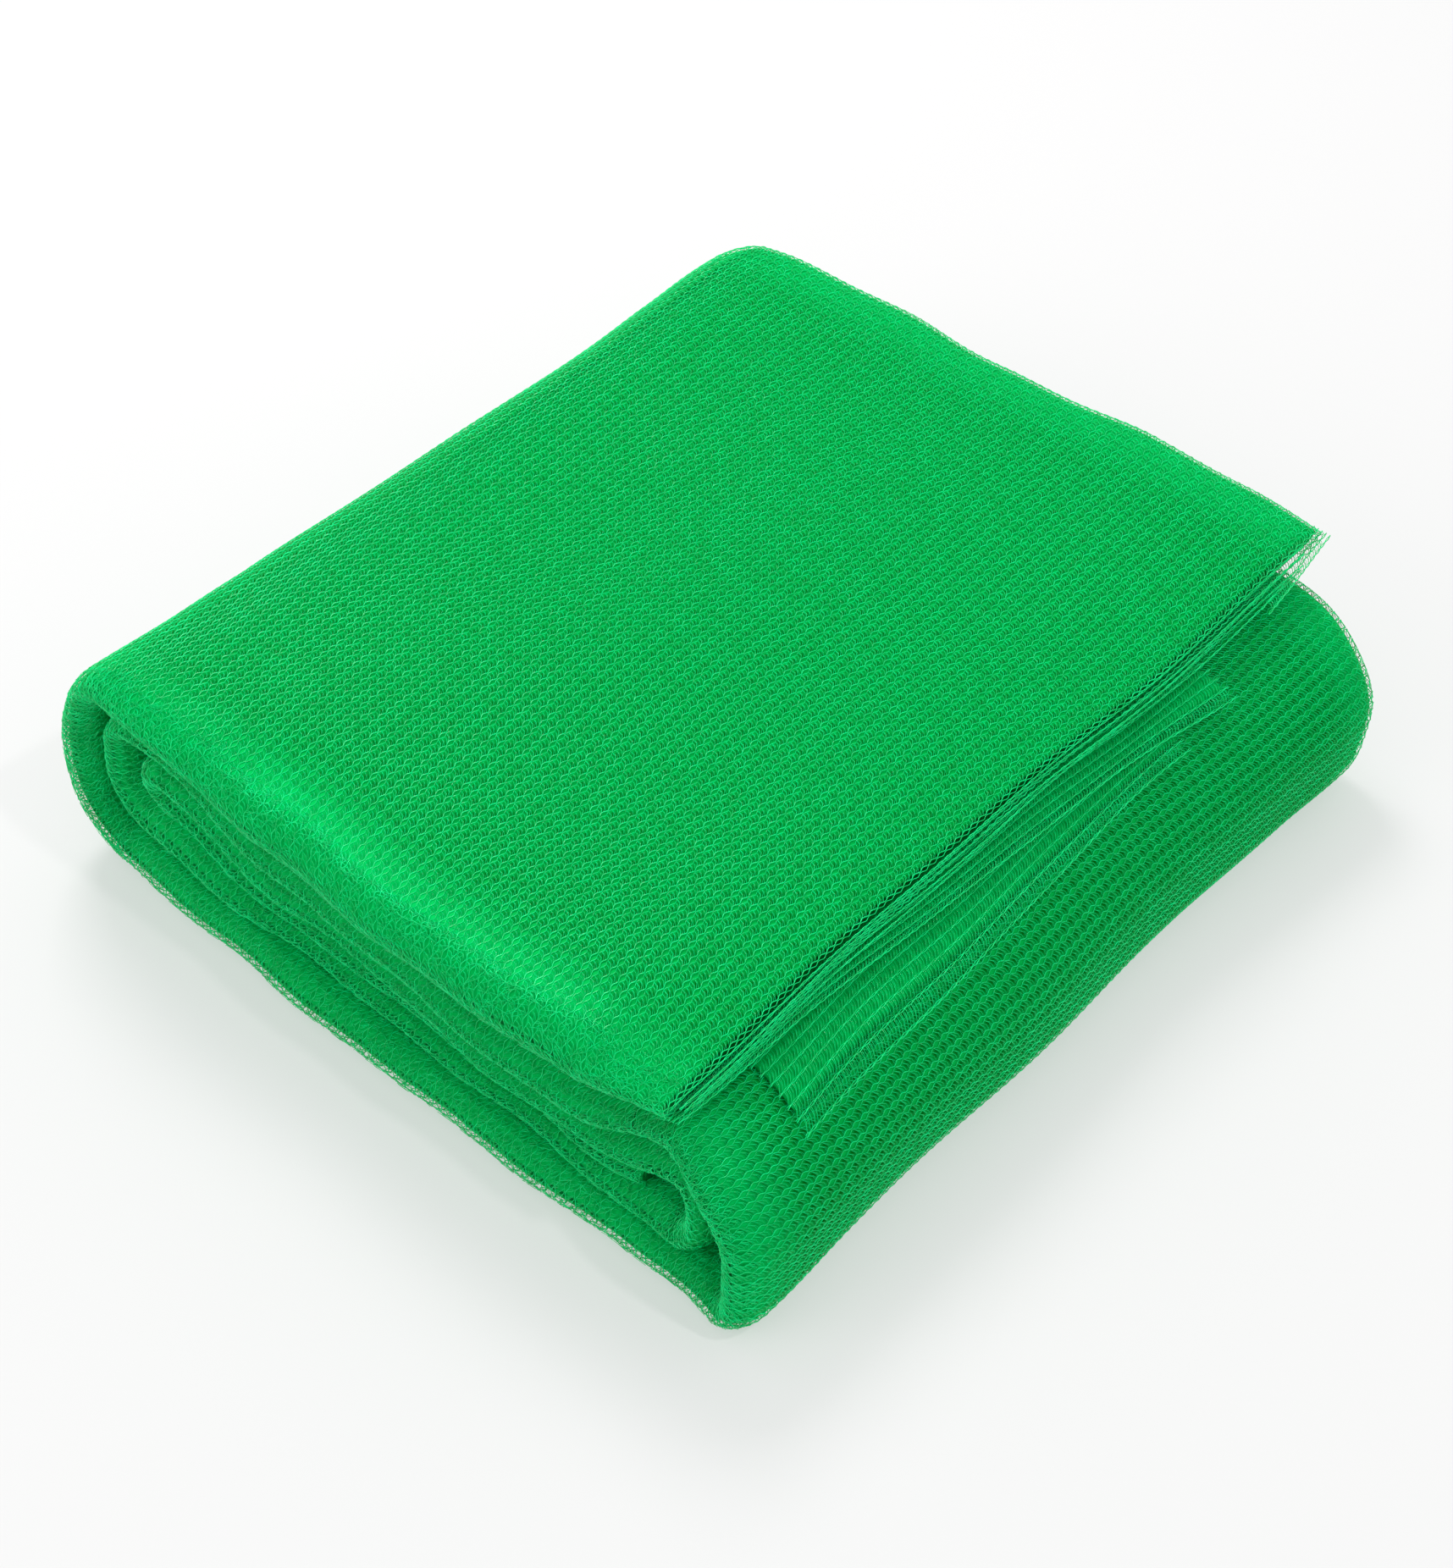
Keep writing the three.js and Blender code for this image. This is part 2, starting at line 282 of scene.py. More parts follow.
# How far the strip's front and back edges keep in from the full width, at distances along its route.
KEEP_IN = [
    (0.0, 0.0000, -0.0090),
    (span["flap"][0], 0.0000, -0.0098),
    (span["flap"][0] + 0.035, 0.0000, -0.0088),
    (span["flap"][0] + 0.095, 0.0000, -0.0106),
    (span["flap"][0] + 0.140, 0.0000, -0.0090),
    (span["flap"][1], 0.0000, -0.0055),
    (span["upper_bend"][1], 0.0020, 0.0060),
    (span["wall"][1], 0.0015, 0.0060),
    (span["lower_bend"][1], 0.0005, 0.0030),
    (span["bottom"][0] + 0.080, -0.0005, 0.0020),
    (span["bottom"][0] + 0.120, -0.0020, 0.0020),
    (span["bottom"][0] + 0.155, -0.0042, 0.0020),
    (span["bottom"][0] + 0.175, -0.0022, 0.0015),
    (span["bottom"][0] + 0.212, 0.0013, 0.0010),
    (span["bottom"][0] + 0.232, 0.0012, 0.0010),
    (span["bottom"][1], -0.0012, 0.0010),
    (span["right_wall"][1], -0.0015, 0.0010),
    (span["shoulder"][1], 0.0020, 0.0010),
    (span["second_top"][1], 0.0045, 0.0020),
    (span["second_wall"][1], 0.0050, 0.0030),
    (span["second_bottom"][1], 0.0035, 0.0020),
    (span["inner_right"][1], 0.0040, 0.0025),
    (span["third_top"][1], 0.0065, 0.0030),
    (span["core"][1], 0.0075, 0.0030),
]
keep_s, keep_front, keep_back = np.array(KEEP_IN).T
# Towards its cut end the strip is thinner, because some of its plies end short.
CUT_END_THINNER = 0.42
CUT_END_LENGTH = 0.048


def skin(s, u, lift, aside=0.0, shy=0.0):
    """A point of the strip: s along the route, u round its girth, lift above its surface."""
    s, u, lift = np.broadcast_arrays(s + aside, np.mod(u, GIRTH), lift)
    v, h, nv, nh = [np.interp(u, section_u, row) for row in (section_v, section_h, section_nv, section_nh)]
    ragged = 0.0007 * np.sin(57 * s + 0.4) + 0.0005 * np.sin(131 * s + 2.1)
    keep = np.where(v < 0, np.interp(s, keep_s, keep_front), np.interp(s, keep_s, keep_back))
    y = v * (1 - (keep + ragged + shy) / HALF_WIDTH) + nv * lift
    x, z, ox, oz = route(s)
    thin = 1 - CUT_END_THINNER * smooth((CUT_END_LENGTH - s) / CUT_END_LENGTH)
    height = h * thin + nh * lift
    return settled(x + ox * height, y, z + oz * height)


# The knit. Chains of stitches run along the folds, and fine slanted filaments join each chain to the
# next. A chain is two filaments looped round each other.
CHAIN_PITCH = 0.0036
STITCH = 0.0018
YARN = 0.00021
THIN_YARN = 0.00014
CHAIN_SWING = 0.00085
TAUT_SWING = 0.00030
OPEN_EDGE = 0.0022
CHAIN_LOFT = 0.00012
FILAMENT = 0.00009
COARSE_YARN = 0.00026
FILAMENT_CROSSING = 0.00004
# In stitches: how far a cell's filaments are spread out, how far each leans, and how far it bows.
FILAMENT_SPREAD = 1.7
FILAMENT_LEAN = 0.9
EVERY_OTHER_LEANS = 0.35
FILAMENT_BOW = 0.3
# A chain's width at its knots, as a share of its width at its loops.
KNOT_WIDTH = 0.2


def stray(s, u):
    """How far a soft net's knit strays from a true grid, along the route and round the girth."""
    ds = 0.0010 * np.sin(s * 47 + 1.3 + 2.0 * np.sin(u * 11 + 0.6)) + 0.0005 * np.sin(u * 31 + s * 23)
    du = 0.0009 * np.sin(u * 39 + 0.7 + 1.6 * np.sin(s * 17)) + 0.0005 * np.sin(s * 61 + u * 13)
    return ds, du


def wavering(s, u, lift, aside=0.0):
    """A point of the strip's surface, in the strayed grid of its knit."""
    ds, du = stray(s, u)
    return skin(s + ds, u + du, lift, aside)


def tube(place, chain, b, lift, aside, radius, sides):
    """Closed threads through place(chain, b, lift, aside), whose arrays are (thread, point)."""
    chain, b, lift, aside = np.broadcast_arrays(chain, b, lift, aside)
    paths = place(chain, b, lift, aside)
    ups = place(chain, b, lift + 0.001, aside) - paths
    along = np.gradient(paths, axis=1)
    side = np.cross(along, ups)
    side /= np.linalg.norm(side, axis=2, keepdims=True) + 1e-12
    up = np.cross(side, along)
    up /= np.linalg.norm(up, axis=2, keepdims=True) + 1e-12
    turn = np.arange(sides) * 2 * np.pi / sides + np.pi / 2
    ring = np.cos(turn)[:, None] * side[:, :, None] + np.sin(turn)[:, None] * up[:, :, None]
    verts = paths[:, :, None] + radius * ring
    index = np.arange(verts.shape[0] * verts.shape[1] * sides).reshape(verts.shape[:3])
    a, b = index[:, :-1], index[:, 1:]
    quads = np.stack([a, np.roll(a, -1, 2), np.roll(b, -1, 2), b], -1).reshape(-1, 4)
    caps = np.concatenate([index[:, 0, ::-1], index[:, -1]])
    return verts.reshape(-1, 3), quads, caps


def loop_width(k):
    """A chain's loops are widest at every second stitch and draw in to a knot between."""
    return KNOT_WIDTH + (1 - KNOT_WIDTH) * (0.5 + 0.5 * np.cos(np.pi * k))


def knit(
    place, chains, b0, b1, lift=0.0, fine=5, shift=0.0, linked=None, lean=-1, sway=CHAIN_SWING, bare=()
):
    """One ply of net: a chain at each of chains, from b0 to b1, and fine filaments in each cell from it
    to the next chain, left out close to each of bare. With fine at 0 the chains are single threads."""
    first, last = math.ceil((b0 - shift) / STITCH), math.floor((b1 - shift) / STITCH)
    chains = np.asarray(chains, float)[:, None]
    nexts = chains[1:] if linked is None else np.asarray(linked, float)[:, None]
    parts = []
    if fine:
        k = np.arange(first * 3, last * 3 + 1)[None] / 3
        for side, radius in ((1, YARN), (-1, THIN_YARN)):
            loft = lift + side * CHAIN_LOFT * np.sin(np.pi * k)
            swing = side * sway * loop_width(k)
            parts.append(tube(place, chains, k * STITCH + shift, loft, swing, radius, 3))
    else:
        k = np.arange(first, last + 1)[None]
        swing = TAUT_SWING * np.cos(np.pi * k)
        parts.append(tube(place, chains, k * STITCH + shift, lift, swing, COARSE_YARN, 4))
    if not len(nexts):
        return parts
    here = chains[: len(nexts)]
    cells = 2 * np.arange(math.ceil(first / 2) + 1, math.floor(last / 2))
    for edge in bare:
        cells = cells[np.abs(cells * STITCH + shift - edge) > OPEN_EDGE]
    filaments = max(fine, 2)
    for i in range(filaments):
        start = cells + FILAMENT_SPREAD * ((i + 0.5) / filaments - 0.5) + 0 * here
        slant = lean * (FILAMENT_LEAN + EVERY_OTHER_LEANS * (i % 2))
        k = np.stack([start, start + 0.5 * slant + FILAMENT_BOW, start + slant], -1)
        ends = sway * loop_width(k) * np.array([1, 0, -1])
        across = np.stack([here + 0 * start, (here + nexts) / 2 + 0 * start, nexts + 0 * start], -1)
        across, along, ends = [rows.reshape(-1, 3) for rows in (across, k * STITCH + shift, ends)]
        high = lift + (FILAMENT_CROSSING if i % 2 == 0 else -FILAMENT_CROSSING)
        parts.append(tube(place, across, along, high, ends, FILAMENT, 3))
    return parts


def net(name, parts, material):
    """One object from several lots of threads."""
    verts, loops, sizes, base = [], [], [], 0
    for points, quads, caps in parts:
        verts.append(points)
        for faces in (quads, caps):
            loops.append((faces + base).reshape(-1))
            sizes.append(np.full(len(faces), faces.shape[1]))
        base += len(points)
    verts, loops, sizes = np.concatenate(verts), np.concatenate(loops), np.concatenate(sizes)
    mesh = bpy.data.meshes.new(name)
    mesh.vertices.add(len(verts))
    mesh.vertices.foreach_set("co", verts.astype(np.float32).ravel())
    mesh.loops.add(len(loops))
    mesh.loops.foreach_set("vertex_index", loops.astype(np.int32))
    mesh.polygons.add(len(sizes))
    mesh.polygons.foreach_set("loop_start", (np.cumsum(sizes) - sizes).astype(np.int32))
    mesh.polygons.foreach_set("use_smooth", np.ones(len(sizes), bool))
    mesh.update(calc_edges=True)
    mesh.materials.append(material)
    made = bpy.data.objects.new(name, mesh)
    scene.collection.objects.link(made)
    return made


def principled(name):
    """A new material, with its node tree and its shader."""
    material = bpy.data.materials.new(name)
    material.use_nodes = True
    return material, material.node_tree, material.node_tree.nodes["Principled BSDF"]


def add(tree, kind, **values):
    """A new node, with its settings and the values of its sockets given by name."""
    node = tree.nodes.new(kind)
    for key, value in values.items():
        if hasattr(node, key):
            setattr(node, key, value)
        else:
            node.inputs[key.replace("_", " ")].default_value = value
    return node


def ramp(tree, factor, low, low_colour, high, high_colour):
    """A colour that goes from low_colour to high_colour as factor goes from low to high."""
    made = add(tree, "ShaderNodeValToRGB")
    made.color_ramp.elements[0].position = low
    made.color_ramp.elements[0].color = (*low_colour, 1)
    made.color_ramp.elements[1].position = high
    made.color_ramp.elements[1].color = (*high_colour, 1)
    tree.links.new(factor, made.inputs["Fac"])
    return made.outputs["Color"]


# The threads are glossy drawn plastic, a little uneven in colour, with a fine grain in their shine.
YARN_DARK, YARN_LIGHT = (0.0, 0.62, 0.155), (0.0, 0.80, 0.245)
YARN_SMOOTHEST, YARN_ROUGHEST = 0.10, 0.26
YARN_IOR = 1.33
YARN_MOTTLE_SCALE, YARN_GRAIN_SCALE = 260.0, 2600.0
YARN_GRAIN_DEPTH = 0.00005
yarn, yarn_tree, yarn_shader = principled("green_monofilament")
yarn_coords = add(yarn_tree, "ShaderNodeTexCoord")
yarn_mottle = add(yarn_tree, "ShaderNodeTexNoise", Scale=YARN_MOTTLE_SCALE, Detail=2.0)
yarn_tree.links.new(yarn_coords.outputs["Object"], yarn_mottle.inputs["Vector"])
yarn_colour = ramp(yarn_tree, yarn_mottle.outputs["Fac"], 0.35, YARN_DARK, 0.65, YARN_LIGHT)
yarn_tree.links.new(yarn_colour, yarn_shader.inputs["Base Color"])
yarn_grain = add(yarn_tree, "ShaderNodeTexNoise", Scale=YARN_GRAIN_SCALE, Detail=1.0)
yarn_tree.links.new(yarn_coords.outputs["Object"], yarn_grain.inputs["Vector"])
yarn_rough = add(yarn_tree, "ShaderNodeMapRange")
yarn_rough.inputs["To Min"].default_value = YARN_SMOOTHEST
yarn_rough.inputs["To Max"].default_value = YARN_ROUGHEST
yarn_tree.links.new(yarn_grain.outputs["Fac"], yarn_rough.inputs["Value"])
yarn_tree.links.new(yarn_rough.outputs["Result"], yarn_shader.inputs["Roughness"])
yarn_bump = add(yarn_tree, "ShaderNodeBump", Strength=0.25, Distance=YARN_GRAIN_DEPTH)
yarn_tree.links.new(yarn_grain.outputs["Fac"], yarn_bump.inputs["Height"])
yarn_tree.links.new(yarn_bump.outputs["Normal"], yarn_shader.inputs["Normal"])
yarn_shader.inputs["IOR"].default_value = YARN_IOR

# The plies beneath the outermost one show only between its threads, as darker green knit with next
# to no shine. That darker green is painted shade for the depth of the pack under the outer ply. Where
# light comes through from an edge they are lightened to a milky green, a painted glow.
BENEATH_PAINTED_GAP_SHADE, BENEATH_KNIT_PAINTED_SHADE = (0.0, 0.155, 0.011), (0.0, 0.40, 0.066)
BENEATH_PAINTED_GLOW = (0.0, 0.57, 0.122)
BENEATH_IOR = 1.06
PAINTED_SHADE_AT_KNOT, PAINTED_SHADE_LESS_AT_LOOP = 0.70, 0.30
KNIT_RELIEF = 0.0006
ROUGH_IN_GAP, ROUGH_ON_KNIT = 0.75, 0.45
beneath, beneath_tree, beneath_shader = principled("green_plies_beneath_painted_shade")
beneath_grid = add(beneath_tree, "ShaderNodeAttribute", attribute_name="knit_grid_and_painted_glow")
beneath_split = add(beneath_tree, "ShaderNodeSeparateXYZ")
beneath_tree.links.new(beneath_grid.outputs["Vector"], beneath_split.inputs["Vector"])


def maths(operation, first, second=None, third=None):
    """One sum in the material of the plies beneath."""
    node = add(beneath_tree, "ShaderNodeMath", operation=operation)
    for socket, value in zip(node.inputs, (first, second, third)):
        if isinstance(value, (int, float)):
            socket.default_value = value
        elif value is not None:
            beneath_tree.links.new(value, socket)
    return node.outputs[0]


# Painted shade: dark cells lie between the chains, level with their knots, in step with the threads above,
# where the depth between the plies is in shadow.
beneath_row = maths("DIVIDE", beneath_split.outputs["X"], CHAIN_PITCH)
beneath_between = maths("COSINE", maths("MULTIPLY", beneath_row, 2 * math.pi))
beneath_stitch = maths("COSINE", maths("MULTIPLY", beneath_split.outputs["Y"], math.pi / STITCH))
beneath_cell = maths("MULTIPLY_ADD", beneath_between, -0.5, 0.5)
beneath_painted_shade = maths(
    "MULTIPLY", beneath_cell, maths("MULTIPLY_ADD", beneath_stitch, -PAINTED_SHADE_LESS_AT_LOOP, PAINTED_SHADE_AT_KNOT)
)
beneath_knit = maths("SUBTRACT", 1.0, beneath_painted_shade)
beneath_height = add(beneath_tree, "ShaderNodeMapRange")
beneath_tree.links.new(beneath_knit, beneath_height.inputs["Value"])
# The colour goes from the painted shade of the cells to the shaded darker green of the knit beneath.
beneath_colour = ramp(beneath_tree, beneath_height.outputs["Result"], 0.05, BENEATH_PAINTED_GAP_SHADE, 0.85, BENEATH_KNIT_PAINTED_SHADE)
# Painted glow: the colour is mixed toward a milky green by the grid's third value, where light would come
# through the net.
beneath_painted_glow = add(beneath_tree, "ShaderNodeMix", data_type="RGBA")
beneath_tree.links.new(beneath_split.outputs["Z"], beneath_painted_glow.inputs["Factor"])
beneath_tree.links.new(beneath_colour, beneath_painted_glow.inputs["A"])
beneath_painted_glow.inputs["B"].default_value = (*BENEATH_PAINTED_GLOW, 1)
beneath_tree.links.new(beneath_painted_glow.outputs["Result"], beneath_shader.inputs["Base Color"])
beneath_shader.inputs["IOR"].default_value = BENEATH_IOR
beneath_rough = add(beneath_tree, "ShaderNodeMapRange")
beneath_rough.inputs["To Min"].default_value = ROUGH_IN_GAP
beneath_rough.inputs["To Max"].default_value = ROUGH_ON_KNIT
beneath_tree.links.new(beneath_height.outputs["Result"], beneath_rough.inputs["Value"])
beneath_tree.links.new(beneath_rough.outputs["Result"], beneath_shader.inputs["Roughness"])
beneath_bump = add(beneath_tree, "ShaderNodeBump", Strength=1.0, Distance=KNIT_RELIEF)
beneath_tree.links.new(beneath_height.outputs["Result"], beneath_bump.inputs["Height"])
beneath_tree.links.new(beneath_bump.outputs["Normal"], beneath_shader.inputs["Normal"])


def solid(name, verts, grid):
    """A closed body of plies from rings of points, an array of (ring, point, xyz), capped at both ends.
    Its grid says where each point is in the knit, and its third value is the share of painted glow."""
    rings, around = verts.shape[:2]
    index = np.arange(rings * around).reshape(rings, around)
    a, b = index[:-1], index[1:]
    quads = np.stack([a, b, np.roll(b, -1, 1), np.roll(a, -1, 1)], -1).reshape(-1, 4)
    half = around // 2
    ahead = np.arange(half)
    back = -ahead % around
    lid = np.stack([ahead[:-1], ahead[1:], back[1:], back[:-1]], -1)
    far = index[-1][lid[:, ::-1]]
    near = index[0][lid]
    # The first face of each cap has two corners in one point, which make it a triangle.
    faces = [list(dict.fromkeys(face)) for face in np.concatenate([quads, near, far]).tolist()]
    mesh = bpy.data.meshes.new(name)
    mesh.from_pydata(verts.reshape(-1, 3).tolist(), [], faces)
    mesh.attributes.new("knit_grid_and_painted_glow", "FLOAT_VECTOR", "POINT").data.foreach_set(
        "vector", grid.astype(np.float32).ravel()
    )
    mesh.polygons.foreach_set("use_smooth", np.arange(len(mesh.polygons)) < len(quads))
    mesh.materials.append(beneath)
    mesh.update()
    made = bpy.data.objects.new(name, mesh)
    scene.collection.objects.link(made)
    return made


RING_STEP = 0.003
NOSE_GIRTH = 0.016
# How much painted glow, for light through the net, the colour takes at the folded edges, and where across
# the width it starts and over how far it grows.
PAINTED_GLOW, PAINTED_GLOW_FROM, PAINTED_GLOW_OVER = 0.55, 0.122, 0.022


def plies(name, node, s0, s1, sunk, shy):
    """The plies beneath the skin of a stretch of strip, as one round-edged body that stands for the node.
    It lies sunk under the net, and its two folded edges keep in by shy."""
    s = np.linspace(s0, s1, max(6, int((s1 - s0) / RING_STEP)))
    nose = np.linspace(0, NOSE_GIRTH, 12)
    flat = np.linspace(NOSE_GIRTH, GIRTH / 2 - NOSE_GIRTH, 60)
    half = np.concatenate([nose[:-1], flat, GIRTH / 2 - nose[::-1][1:]])
    along, round_girth = np.meshgrid(s, np.concatenate([half[:-1], half[:-1] + GIRTH / 2]), indexing="ij")
    u = round_girth - EDGE
    ds, du = stray(along, u)
    # Painted glow: the colour is lightened toward the folded edges, where light would come through the net.
    from_middle = np.abs(np.interp(np.mod(u, GIRTH), section_u, section_v))
    painted_glow = PAINTED_GLOW * smooth((from_middle - PAINTED_GLOW_FROM) / PAINTED_GLOW_OVER)
    grid = np.stack([along - ds, u - du, painted_glow], -1)
    made = solid(name, skin(along, u, -sunk, 0.0, shy), grid)
    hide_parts(node)
    return made


def chains_between(s0, s1):
    """Where the chains lie along a stretch. Two stretches that meet share none and miss none."""
    first, last = [math.ceil(s / CHAIN_PITCH - 1e-6) for s in (s0, s1)]
    return np.arange(first, last) * CHAIN_PITCH


LOOSE_FILAMENT = 0.00009
LOOSE_LOW, LOOSE_HIGH = 0.0001, 0.0005


def fuzz(s0, s1, before, after, each=1):
    """Filaments that stand a little loose of the folded front edge, where eight plies turn back together.
    They lie from -EDGE - after to -EDGE + before round the girth, with each of them to a stitch."""
    chance = np.random.default_rng(len(chains_between(s0, s1)))
    chains = np.repeat(chains_between(s0, s1), each * int((before + after) / STITCH))
    u = -EDGE - after + (before + after) * chance.random(len(chains))
    across = np.stack([chains, chains + CHAIN_PITCH * chance.uniform(0.6, 1.3, len(chains))], -1)
    along = np.stack([u, u + STITCH * chance.uniform(-1.8, 1.2, len(chains))], -1)
    high = LOOSE_LOW + (LOOSE_HIGH - LOOSE_LOW) * chance.random(along.shape)
    across = across + CHAIN_PITCH * chance.random((len(chains), 1))
    return [tube(wavering, across, along, high, 0.0, LOOSE_FILAMENT, 3)]


def nose_skin(s0, s1, before, after, bare=()):
    """Net on the strip's two folded edges only: fine and fuzzy at the front, coarser at the back."""
    chains = chains_between(s0, s1)
    low, high = -EDGE - after, -EDGE + before
    front = knit(wavering, chains, low, high, 0.0, 4, 0.0, chains + CHAIN_PITCH, -1, CHAIN_SWING, bare)
    back = knit(wavering, chains, EDGE - before, EDGE + after, 0.0, 0, 0.0, chains + CHAIN_PITCH)
    return front + back + fuzz(s0, s1, before, after)


def upper_skin(s0, s1, reach):
    """Coarser net on the side of the strip that faces out, reach to each side of its middle."""
    chains = chains_between(s0, s1)
    return knit(wavering, chains, -reach, reach, 0.0, 0, 0.0, chains + CHAIN_PITCH)


INNER_DEPTH, INNER_SHY = 0.0004, 0.0008
END_REACH = 0.022
END_OVERLAP = 0.001


def inner_turn(node, s0, s1, seen=False):
    """A stretch inside the pack, whose net shows only at its folded ends until the flap is turned back."""
    body = plies(node + "_plies", node, s0, s1, INNER_DEPTH, INNER_SHY)
    nets = [net(f"{node}_net_ends", nose_skin(s0, s1, END_REACH, END_REACH), yarn)]
    if seen:
        nets.append(net(f"{node}_net", upper_skin(s0, s1, EDGE - END_REACH + END_OVERLAP), yarn))
    for piece in (body, *nets):
        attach(piece, "bundle")


inner_turn("core_end_panel", *span["core"])
inner_turn("inner_left_fold", *span["inner_left"])
inner_turn("third_top_panel", *span["third_top"])
inner_turn("inner_right_fold", *span["inner_right"])

# ---------------------------------------------------------------------------------------------------
# The second turn is the same strip, one turn further out. Its left fold and its upper run come into
# sight when the flap is turned back, so they have net all over and not only at their folded ends.
inner_turn("second_bottom_panel", *span["second_bottom"])
inner_turn("second_left_fold", span["second_upper"][0], span["second_lower"][1], seen=True)
inner_turn("second_top_panel", *span["second_top"], seen=True)

# ---------------------------------------------------------------------------------------------------
# The bottom panel is the outer turn's underside, which the pack lies on. Its folded front edge sticks
# out past the turns above it, and there it is a single fold of net that light comes through.
SKIN_DEPTH = 0.0005
BOTTOM_SHY = 0.0012
BOTTOM_OPEN = 0.005 - EDGE
BOTTOM_REACH = EDGE - 0.010
BOTTOM_END_BEFORE, BOTTOM_END_AFTER = 0.012, 0.030
bottom0, bottom1 = span["bottom"]
bottom_middle = (bottom0 + bottom1) / 2
bottom = plies("bottom_panel_plies", "bottom_panel", bottom0, bottom1, SKIN_DEPTH, BOTTOM_SHY)
bottom_pieces = []
for half, s0, s1 in (("left", bottom0, bottom_middle), ("right", bottom_middle, bottom1)):
    ends = nose_skin(s0, s1, BOTTOM_END_BEFORE, BOTTOM_END_AFTER, [BOTTOM_OPEN])
    bottom_pieces.append(net(f"bottom_panel_net_{half}", upper_skin(s0, s1, BOTTOM_REACH), yarn))
    bottom_pieces.append(net(f"bottom_panel_net_ends_{half}", ends, yarn))
for piece in (bottom, *bottom_pieces):
    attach(piece, "bundle")


# ---------------------------------------------------------------------------------------------------
# The right fold closes the outer turn: a tight bend at the floor and a broad round shoulder above. It is
# the same strip, and its knit leans the other way from the flap's. The back edge is left open to light.
FOLD_SHY = 0.0011
ROUND_EDGE = 0.014
NESTED_DEPTH = 0.0006
FOLD_OPEN = EDGE - 0.0045


def whole_skin(s0, s1, lean=-1, bare=()):
    """Fine net on the side of the strip that faces out, and round both of its folded edges."""
    chains = chains_between(s0, s1)
    reach = EDGE + ROUND_EDGE
    return knit(wavering, chains, -reach, reach, 0.0, 5, 0.0, chains + CHAIN_PITCH, lean, CHAIN_SWING, bare)


def nested_nose(s0, s1, before=0.006, after=0.010, edges=(-EDGE, EDGE)):
    """The folded edge of the next ply in, which shows through the outermost one."""
    chains = chains_between(s0, s1) + CHAIN_PITCH / 2
    nexts = chains + CHAIN_PITCH
    parts = []
    for edge in edges:
        parts += knit(wavering, chains, edge - before, edge + after, -NESTED_DEPTH, 3, STITCH / 2, nexts)
    return parts


fold0, fold1 = span["heel"][0], span["shoulder"][1]
fold = plies("right_fold_plies", "right_fold", fold0, fold1, SKIN_DEPTH, FOLD_SHY)
fold_pieces = []
third = (fold1 - fold0) / 3
for i in range(3):
    s0, s1 = fold0 + third * i, fold0 + third * (i + 1)
    threads = whole_skin(s0, s1, -1, [FOLD_OPEN]) + fuzz(s0, s1, 0.006, ROUND_EDGE)
    fold_pieces.append(net(f"right_fold_net_{i + 1}", threads, yarn))
fold_pieces.append(net("right_fold_nested_edges", nested_nose(fold0, fold1, edges=(-EDGE,)), yarn))
for piece in (fold, *fold_pieces):
    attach(piece, "bundle")

# ---------------------------------------------------------------------------------------------------
# The left wall joins the bottom panel to the flap. It is made in two halves, each with one of its
# bends. Its inner side shows when the net is unrolled.


def far_skin(s0, s1, reach):
    """Coarser net on the side of the strip that faces the core, reach to each side of its middle."""
    chains = chains_between(s0, s1)
    low, high = GIRTH / 2 - reach, GIRTH / 2 + reach
    return knit(wavering, chains, low, high, 0.0, 0, 0.0, chains + CHAIN_PITCH)


# The upper bend is rounder than the neat roll, so it starts to turn further in and higher up. The loop
# below is given these points for the ends of the wall's halves, and doesn't use them.
BENT_FLAP = (LEFT_BEND_X + 0.002, 0, TOP_LEVEL - 0.001)
WALL_TOP = (LEFT_WALL_X + 0.006, 0, upper_z + 0.003)
WALL_FOOT = (LEFT_WALL_X, 0, lower_z)
BENT_BOTTOM = (LEFT_BEND_X, 0, HALF_STRIP)
INSIDE_REACH = EDGE - 0.013
WALL_OPEN = 0.0065 - EDGE
WALL_SHY = 0.0016
wall_middle = (span["wall"][0] + span["wall"][1]) / 2
for half, s0, s1, above, below, start, end in (
    ("upper", span["upper_bend"][0], wall_middle, "flap", "wall", BENT_FLAP, WALL_TOP),
    ("lower", wall_middle, span["lower_bend"][1], "wall", "bundle", WALL_FOOT, BENT_BOTTOM),
):
    wall = plies(f"left_wall_{half}_plies", "left_wall", s0, s1, SKIN_DEPTH, WALL_SHY)
    wall_net = net(f"left_wall_{half}_net", whole_skin(s0, s1, 1, [WALL_OPEN]), yarn)
    wall_inside = net(f"left_wall_{half}_net_inside", far_skin(s0, s1, INSIDE_REACH), yarn)
    loose = nested_nose(s0, s1) + fuzz(s0, s1, 0.012, ROUND_EDGE, 2)
    wall_ends = net(f"left_wall_{half}_net_ends", loose, yarn)
    for piece in (wall, wall_net, wall_ends, wall_inside):
        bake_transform(piece)

